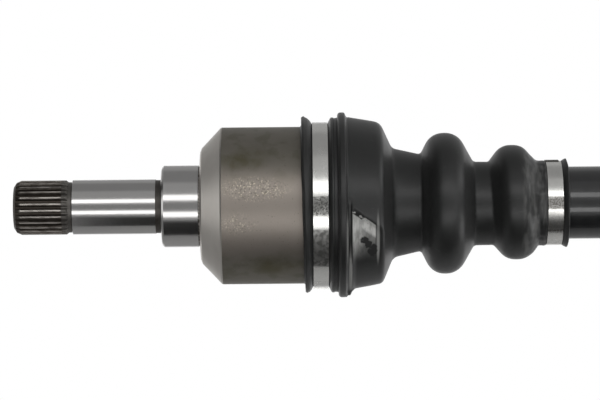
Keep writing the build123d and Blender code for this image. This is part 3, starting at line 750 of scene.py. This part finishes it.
def signed_degrees(turn):
    """A turn in degrees from -180 to 180."""
    return (degrees(turn) + 180) % 360 - 180


def crease_turn(x):
    """Turn in degrees of the crease above the flattened place, at a station along the shaft."""
    return crease_start - crease_slope * (x - dent_left)


def boot_shoulder_dent(x, turn):
    """Depth of the flattened place on the shoulder's lower front."""
    angle = signed_degrees(turn)
    crease = crease_turn(x)
    around = smoothstep(crease + 0.8 - angle, 0.0, 5.0) * smoothstep(angle, -128.0, -98.0)
    along = smoothstep(x, 83.0, 85.6) * (1 - smoothstep(x, 95.4, 100.5))
    fall = smoothstep(crease - angle, 4.0, 50.0)
    notch = window(x, rim + 0.7, rim + 1.7, 0.7) * window(angle, -34.0, -5.0, 9.0)
    return (1.7 - 0.3 * fall) * around * along + 1.5 * notch


def round_noise(along, waves, turn):
    """Noise from -1 to 1 that closes round the shaft. It has finer waves round it when waves is larger."""
    return noise.noise((along, waves * cos(turn), waves * sin(turn)))


def inner_boot_dent(x, radius, turn):
    """Small errors of form in the rubber: a leaning lip, a dented shoulder, ripples by the small band."""
    up = sin(turn)
    lip = 1 - smoothstep(x, 61.0, 65.0)
    at_x = x - (0.75 * up + 0.25 * round_noise(2, 4, turn)) * lip
    at_radius = radius
    if radius > body_radius + 0.6:
        at_radius += 0.10 * round_noise(x * 0.06, 3, turn) * window(x, 62, 172, 6)
        at_radius += lip * (0.25 * up + 0.2 * round_noise(x, 5, turn))
    if x > rim:
        at_radius -= boot_shoulder_dent(x, turn)
    at_radius += 0.35 * round_noise(x * 0.16, 7, turn) * window(x, 171.0, small_clamp[0] - 1.2, 3.0)
    # The neck and both folds sit a little high, and the second fold leans towards the housing
    lift = 0.7 * window(x, 107.0, 118.0, 9.0)
    lift += 0.3 * window(x, 127.0, 136.0, 7.0)
    lift += 0.5 * window(x, 156.0, 168.0, 6.0)
    at_radius += up * lift
    at_x -= 1.0 * up * window(x, 153.0, 171.0, 6.0)
    # The valley behind the cuff is shallower below
    fill = window(x, rim + 0.4, rim + 1.4, 1.3) * window(signed_degrees(turn), -112.0, -82.0, 10.0)
    if radius > body_radius + 2.0:
        at_radius += 1.5 * fill
    last_lip = smoothstep(x, small_clamp[1] + 0.6, small_clamp[1] + 2.4)
    at_x += 0.35 * last_lip * round_noise(7, 2, turn)
    return at_x, at_radius


def make_inner_boot():
    """Rubber boot of the gearbox joint, in two pieces that meet where the joint's plunge ends."""
    left, right = large_clamp
    small_left, small_right = small_clamp
    seat = body_radius + 1.3
    cuff = [
        (59.7, body_radius + 0.12, 0),
        (60.9, body_radius + 1.3, 1.2),
        (60.9, body_radius + 3.2, 1.0),
        (60.1, body_radius + 4.4, 0.25),
        (61.2, body_radius + 4.9, 0.5),
        (62.8, body_radius + 4.0, 1.5),
        (left - 0.9, body_radius + 2.75, 0.3),
        (left - 0.6, body_radius + 2.2, 0.3),
        (left - 0.1, seat, 0.15),
        (right + 0.1, seat, 0.15),
        (right + 0.25, body_radius + 1.9, 0.2),
        (right + 1.6, body_radius + 4.5, 0.9),
        (right + 2.7, body_radius + 4.5, 0.3),
        (right + 3.0, body_radius + 4.2, 0.2),
        (rim - 4.5, body_radius + 4.2, 0.2),
        (rim - 4.2, body_radius + 3.7, 0.3),
        (rim - 3.8, body_radius + 6.9, 1.5),
        (rim - 0.6, body_radius + 6.9, 1.0),
        (rim + 0.2, body_radius + 5.0, 0.4),
        (rim + 0.7, body_radius + 4.45, 0.3),
    ]
    folds = [
        (rim + 1.5, body_radius + 4.5, 0.4),
        (rim + 16.9, body_radius + 1.8, 5.4),
        (rim + 22.7, 26.8, 4.2),
        (rim + 36.5, 23.7, 1.8),
        (rim + 41.9, 34.4, 9.4),
        (rim + 54.5, 34.6, 9.8),
        (rim + 62.4, 20.5, 2.4),
        (rim + 70.9, 20.4, 2.0),
        (rim + 77.2, 28.1, 9.0),
        (rim + 87.1, 28.0, 8.0),
        (rim + 93.5, 20.7, 1.8),
        (small_left - 2.2, 20.8, 0.5),
    ]
    end = [
        (small_left - 1.1, 20.9, 0.3),
        (small_left - 0.35, 20.7, 0.3),
        (small_left - 0.1, 19.8, 0.15),
        (small_right + 0.1, 19.8, 0.15),
        (small_right + 0.3, 20.6, 0.3),
        (small_right + 1.4, 21.3, 0.4),
        (small_right + 2.7, 21.9, 0.4),
        (small_right + 3.1, 20.6, 0.3),
        (small_right + 3.0, tube_radius + 0.1, 0),
    ]
    outer = relaxed(rounded(cuff, 0.35), 1)[:-1] + relaxed(rounded(cuff[-1:] + folds + end[:1], 0.5), 2)
    outer += relaxed(rounded(end, 0.35), 1)[1:]
    fold_skin = inside(relaxed(rounded(folds, 0.7), 4), boot_wall)
    inner = [
        Vector((59.7, body_radius + 0.06)),
        Vector((rim - 0.4, body_radius + 0.06)),
        Vector((rim + 0.6, body_radius + 0.5)),
    ]
    inner += fold_skin[2:-1]
    inner.append(Vector((small_left - 1.5, tube_radius + 0.06)))
    inner.append(Vector((small_right + 3.0, tube_radius + 0.06)))
    names = ("inner_boot_shoulder", "inner_boot_folds")
    near, far = two_pieces(names, outer, inner, plunge_to, inner_boot_dent)
    rubber = boot_rubber("boot_rubber_scuffed", scuffed=True)
    for piece in (near, far):
        piece.data.materials.append(rubber)
        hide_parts("inner_boot")
    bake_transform(near)
    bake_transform(far)


# Boot on the wheel joint

outer_wall = 1.8
fold_pitch = 14.2
first_crest = (396.55, 46.4)
last_crest = (339.75, 28.0)
fold_count = 5


def outer_boot_dent(x, radius, turn):
    """Slight unevenness of the moulded folds."""
    return x, radius + 0.10 * round_noise(x * 0.05, 2, turn)


def make_outer_boot():
    """Boot of the wheel joint, whose folds grow evenly towards the bell, in two pieces."""
    large_left, large_right = outer_large
    small_left, small_right = outer_small
    seat_end = small_left - 3.0
    path = [
        (seat_end, tube_radius + 0.1, 0),
        (seat_end, tube_radius + 2.6, 0.8),
        (small_left - 0.4, tube_radius + 3.0, 0.6),
        (small_left - 0.1, 19.75, 0.15),
        (small_right + 0.1, 19.75, 0.15),
        (small_right + 0.4, tube_radius + 3.1, 0.5),
        (small_right + 2.4, tube_radius + 3.0, 0.8),
    ]
    folds = [(small_right + 3.4, tube_radius + 2.9, 0.8)]
    for index in range(fold_count):
        share = index / (fold_count - 1)
        crest_x = last_crest[0] + (first_crest[0] - last_crest[0]) * share
        crest = last_crest[1] + (first_crest[1] - last_crest[1]) * share
        folds.append((crest_x - fold_pitch / 2, crest - 7.6 - 0.6 * share, 1.6))
        folds.append((crest_x - 1.2, crest + 0.6, 2.6))
        folds.append((crest_x + 1.2, crest + 0.6, 2.6))
    folds.append((large_left - 6.0, bell_seat - 1.4, 1.6))
    folds.append((large_left - 3.2, bell_seat + 1.9, 1.4))
    cuff = [
        (large_left - 0.5, bell_seat + 2.5, 0.6),
        (large_left - 0.1, bell_seat + 1.55, 0.15),
        (large_right + 0.1, bell_seat + 1.55, 0.15),
        (large_right + 0.4, bell_seat + 2.3, 0.4),
        (large_right + 1.4, bell_seat + 2.3, 0.7),
        (large_right + 1.5, bell_seat + 0.1, 0),
    ]
    outer = relaxed(rounded(path + folds + cuff, 0.6), 2)
    fold_skin = inside(relaxed(rounded(folds, 0.6), 2), outer_wall)
    inner = [Vector((seat_end, tube_radius + 0.06)), Vector((small_right + 1.5, tube_radius + 0.06))]
    inner += fold_skin[2:-2]
    inner += [Vector((large_left - 2.6, bell_seat + 0.06)), Vector((large_right + 1.5, bell_seat + 0.06))]
    split_x = (first_crest[0] + last_crest[0]) / 2 - 9.0
    names = ("outer_boot_bar_end", "outer_boot_bell_end")
    near, far = two_pieces(names, outer, inner, split_x, outer_boot_dent)
    rubber = boot_rubber("boot_plastic", scuffed=False)
    for piece in (near, far):
        piece.data.materials.append(rubber)
        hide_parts("outer_boot")
    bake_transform(far)
    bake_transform(near)


# Small pieces on the CAD nodes


def make_strap_end():
    """The free end of the small band, lying on top of it."""
    left = small_clamp[0] - 0.3
    right = small_clamp[1] - 1.0
    seat = 20.4
    top = 21.1
    bevel = 0.2
    bevel_drop = 0.15
    half_angle = 15.0
    steps = 16
    outline = [
        (left, seat),
        (left, top - bevel_drop),
        (left + bevel, top),
        (right - bevel, top),
        (right, top - bevel_drop),
        (right, seat),
    ]
    points = []
    for step in range(steps + 1):
        angle = radians(90 + half_angle * (2 * step / steps - 1))
        taper = smoothstep(step, 0, 2) * (1 - smoothstep(step, steps - 2, steps))
        for x, radius in outline:
            high = seat + (radius - seat) * (0.35 + 0.65 * taper)
            points.append((x, -high * cos(angle), high * sin(angle)))
    strap = mesh_object("small_clamp_strap_end", points, section_faces(steps, len(outline)), smooth=False)
    strap.data.materials.append(spring_steel("strap_edge"))
    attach(strap, "bar")


def make_thread():
    """The ridge of the hub's thread, wound over its plain CAD cylinder and fading at both ends."""
    pitch = 1.5
    core = 10.9
    crest = 11.28
    least_rise = 0.12
    half_foot = 0.55
    half_crest = 0.12
    start = thread_start + 1.4
    end = shaft_end - 2.2
    per_turn = 72
    fade = 36
    steps = int((end - start) / pitch * per_turn)
    points = []
    for step in range(steps + 1):
        turn = 2 * pi * step / per_turn
        grown = smoothstep(step, 0, fade) * (1 - smoothstep(step, steps - fade, steps))
        high = core + least_rise + (crest - core - least_rise) * grown
        middle = start + pitch * step / per_turn
        section = (
            (middle - half_foot, core),
            (middle - half_crest, high),
            (middle + half_crest, high),
            (middle + half_foot, core),
        )
        for x, radius in section:
            points.append((x, -radius * cos(turn), radius * sin(turn)))
    thread = mesh_object("hub_thread_ridge", points, section_faces(steps, len(section)), smooth=False)
    thread.data.materials.append(ground_steel("thread_ridge", 0.42, 0.28))
    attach(thread, "outer_housing")


# Finishes of the other nodes


def finish_small_parts():
    """Finishes of the rolling parts, the split rings, the bar and the clamp bands."""
    bearing = bearing_steel("bearing_parts")
    spring = spring_steel("spring_parts")
    for node in nodes:
        if node.startswith(("ball_", "needle_", "tripod_")) or node in ("spider", "inner_race"):
            paint(node, bearing)
        if node.endswith(("circlip", "_ring", "_rings", "retainers")):
            paint(node, spring)
    paint("bar", black_paint("bar_paint"))
    stained = band_steel("band_stained", stained=True)
    clean = band_steel("band_clean", stained=False)
    paint("inner_boot_large_clamp", stained)
    paint("inner_boot_small_clamp", clean)
    paint("outer_boot_large_clamp", clean)
    paint("outer_boot_small_clamp", clean)


# Studio


def look_at(thing, place, target):
    """Puts a lamp at a place and turns it to face the target."""
    thing.location = place
    thing.rotation_euler = (Vector(target) - Vector(place)).to_track_quat("-Z", "Y").to_euler()


strip_middle = 0.50
strip_length = 1.50


def soft_box(name, place, target, size, level):
    """A softbox of the given size, with its brightness per area given as a level."""
    data = bpy.data.lights.new(name, "AREA")
    data.shape = "RECTANGLE"
    data.size, data.size_y = size
    data.energy = level * pi * size[0] * size[1]
    lamp = bpy.data.objects.new(name, data)
    bpy.context.scene.collection.objects.link(lamp)
    look_at(lamp, place, target)
    lamp.visible_camera = False


def strip_light(name, elevation, distance, width, level):
    """A long softbox in front of the shaft, at an angle above the level of the camera."""
    angle = radians(elevation)
    place = (strip_middle, -distance * cos(angle), distance * sin(angle))
    soft_box(name, place, (strip_middle, 0, 0), (strip_length, width), level)


world_grey = 0.42
floor_level = -0.8


def make_lights():
    """Two bright strips, a weak fill, three cards beyond the shaft's ends, and an even grey world."""
    strip_light("strip_upper", elevation=24.5, distance=0.85, width=0.22, level=2.5)
    strip_light("strip_lower", elevation=-22.5, distance=0.85, width=0.20, level=2.6)
    strip_light("fill_upper", elevation=54, distance=1.0, width=0.60, level=0.16)
    stub_side = (-0.62, 0.0, 0.0)
    soft_box("stub_card", stub_side, target=(0.0, 0.0, 0.0), size=(0.30, 0.30), level=0.9)
    below_bar = (1.15, -0.10, -0.44)
    soft_box("bar_card_low", below_bar, target=(0.15, 0.0, 0.0), size=(0.70, 0.34), level=3.2)
    above_bar = (1.15, -0.10, 0.44)
    soft_box("bar_card_high", above_bar, target=(0.15, 0.0, 0.0), size=(0.70, 0.34), level=1.8)
    world = bpy.data.worlds.new("studio")
    world.use_nodes = True
    background = world.node_tree.nodes["Background"]
    background.inputs["Color"].default_value = (world_grey, world_grey, world_grey, 1)
    background.inputs["Strength"].default_value = 1.0
    bpy.context.scene.world = world


def stage_object(name, points, faces, material):
    """A smooth piece of the studio, from points in metres."""
    mesh = bpy.data.meshes.new(name)
    mesh.from_pydata(points, [], faces)
    mesh.polygons.foreach_set("use_smooth", [True] * len(faces))
    mesh.materials.append(material)
    made = bpy.data.objects.new(name, mesh)
    bpy.context.scene.collection.objects.link(made)
    return made


def sheet_along(line, left, right):
    """Points and faces of a sheet that follows a (y, z) line and reaches from left to right along X."""
    points = [(x, y, z) for y, z in line for x in (left, right)]
    faces = [(2 * i, 2 * i + 1, 2 * i + 3, 2 * i + 2) for i in range(len(line) - 1)]
    return points, faces


def backdrop_material():
    """Pale cloth: white where it stands behind the shaft, and clear from its back."""
    f = Finish("backdrop_white")
    weave = f.noise(30, 2)
    f.colour(f.mix(weave, grey(0.84), grey(0.86)))
    f.rough(0.9)
    path = f.node("ShaderNodeLightPath")
    seen = f.math("MAXIMUM", path.outputs["Is Camera Ray"], path.outputs["Is Glossy Ray"])
    seen = f.math("MAXIMUM", seen, path.outputs["Is Transmission Ray"])
    apart = f.node("ShaderNodeSeparateXYZ")
    f.feed(apart.inputs[0], f.place)
    wall = f.rise(apart.outputs["Y"], 1.2, 2.6)
    glow = f.node("ShaderNodeEmission")
    glow.inputs["Strength"].default_value = 1.0
    lit = f.node("ShaderNodeMixShader")
    f.feed(lit.inputs[0], f.math("MULTIPLY", seen, wall))
    f.feed(lit.inputs[1], f.shader.outputs[0])
    f.feed(lit.inputs[2], glow.outputs[0])
    side = f.node("ShaderNodeNewGeometry")
    clear = f.node("ShaderNodeBsdfTransparent")
    one_sided = f.node("ShaderNodeMixShader")
    f.feed(one_sided.inputs[0], side.outputs["Backfacing"])
    f.feed(one_sided.inputs[1], lit.outputs[0])
    f.feed(one_sided.inputs[2], clear.outputs[0])
    f.feed(f.tree.nodes["Material Output"].inputs["Surface"], one_sided.outputs[0])
    return f.material


def screen_material():
    """Grey studio screen, darker beyond the stub."""
    f = Finish("screen_grey")
    apart = f.node("ShaderNodeSeparateXYZ")
    f.feed(apart.inputs[0], f.place)
    glow = f.node("ShaderNodeEmission")
    f.feed(glow.inputs["Strength"], f.rise(apart.outputs["X"], -0.75, -0.25, 0.04, 0.30))
    f.feed(f.tree.nodes["Material Output"].inputs["Surface"], glow.outputs[0])
    return f.material


def make_stage():
    """Pale floor that runs up into a white backdrop, a grey screen in front and a dark flag below it."""
    half_length = 7.0
    front = -7.0
    bend_start = 2.4
    bend = 0.9
    top = 1.1
    bend_steps = 12
    sweep = [(front, floor_level), (bend_start, floor_level)]
    for step in range(1, bend_steps + 1):
        angle = radians(90 * step / bend_steps)
        sweep.append((bend_start + bend * sin(angle), floor_level + bend * (1 - cos(angle))))
    sweep.append((bend_start + bend, top))
    stage_object("backdrop", *sheet_along(sweep, -half_length, half_length), backdrop_material())

    screen_low = -36
    screen_high = 120
    screen_step = 6
    screen_reach = 1.3
    round_front = [radians(angle) for angle in range(screen_low, screen_high + 1, screen_step)]
    screen_line = [(-screen_reach * cos(angle), screen_reach * sin(angle)) for angle in round_front]
    screen = stage_object("screen", *sheet_along(screen_line, left=-3.0, right=1.7), screen_material())
    screen.visible_camera = False

    flag_reach = 0.45
    flag_edges = [radians(angle) for angle in (-41, -88)]
    flag_line = [(-flag_reach * cos(angle), flag_reach * sin(angle)) for angle in flag_edges]
    cloth = Finish("flag_cloth")
    cloth.colour(cloth.mix(cloth.noise(6), grey(0.02), grey(0.03)))
    cloth.rough(0.9)
    flag = stage_object("flag", *sheet_along(flag_line, left=-0.08, right=0.98), cloth.material)
    flag.visible_camera = False


def make_camera():
    """Level camera beside the shaft, with a slight roll. Its picture covers 294 mm at the axis."""
    photo_width = 600
    photo_height = 400
    pixel = 0.49
    distance = 1600.0
    origin_column = 180.4
    axis_row = 205.2
    roll = 0.55
    centre_x = (photo_width / 2 - origin_column) * pixel
    centre_z = (axis_row - photo_height / 2) * pixel
    data = bpy.data.cameras.new("camera")
    data.sensor_width = 36
    data.lens = data.sensor_width * distance / (photo_width * pixel)
    data.clip_start = 0.01
    camera = bpy.data.objects.new("camera", data)
    bpy.context.scene.collection.objects.link(camera)
    camera.location = (centre_x * MM, -distance * MM, centre_z * MM)
    camera.rotation_euler = (radians(90), radians(roll), 0)
    bpy.context.scene.camera = camera


finish_inner_housing()
finish_outer_housing()
finish_small_parts()
make_inner_boot()
make_outer_boot()
make_strap_end()
make_thread()
make_lights()
make_stage()
make_camera()
bpy.context.scene.view_settings.view_transform = "Standard"
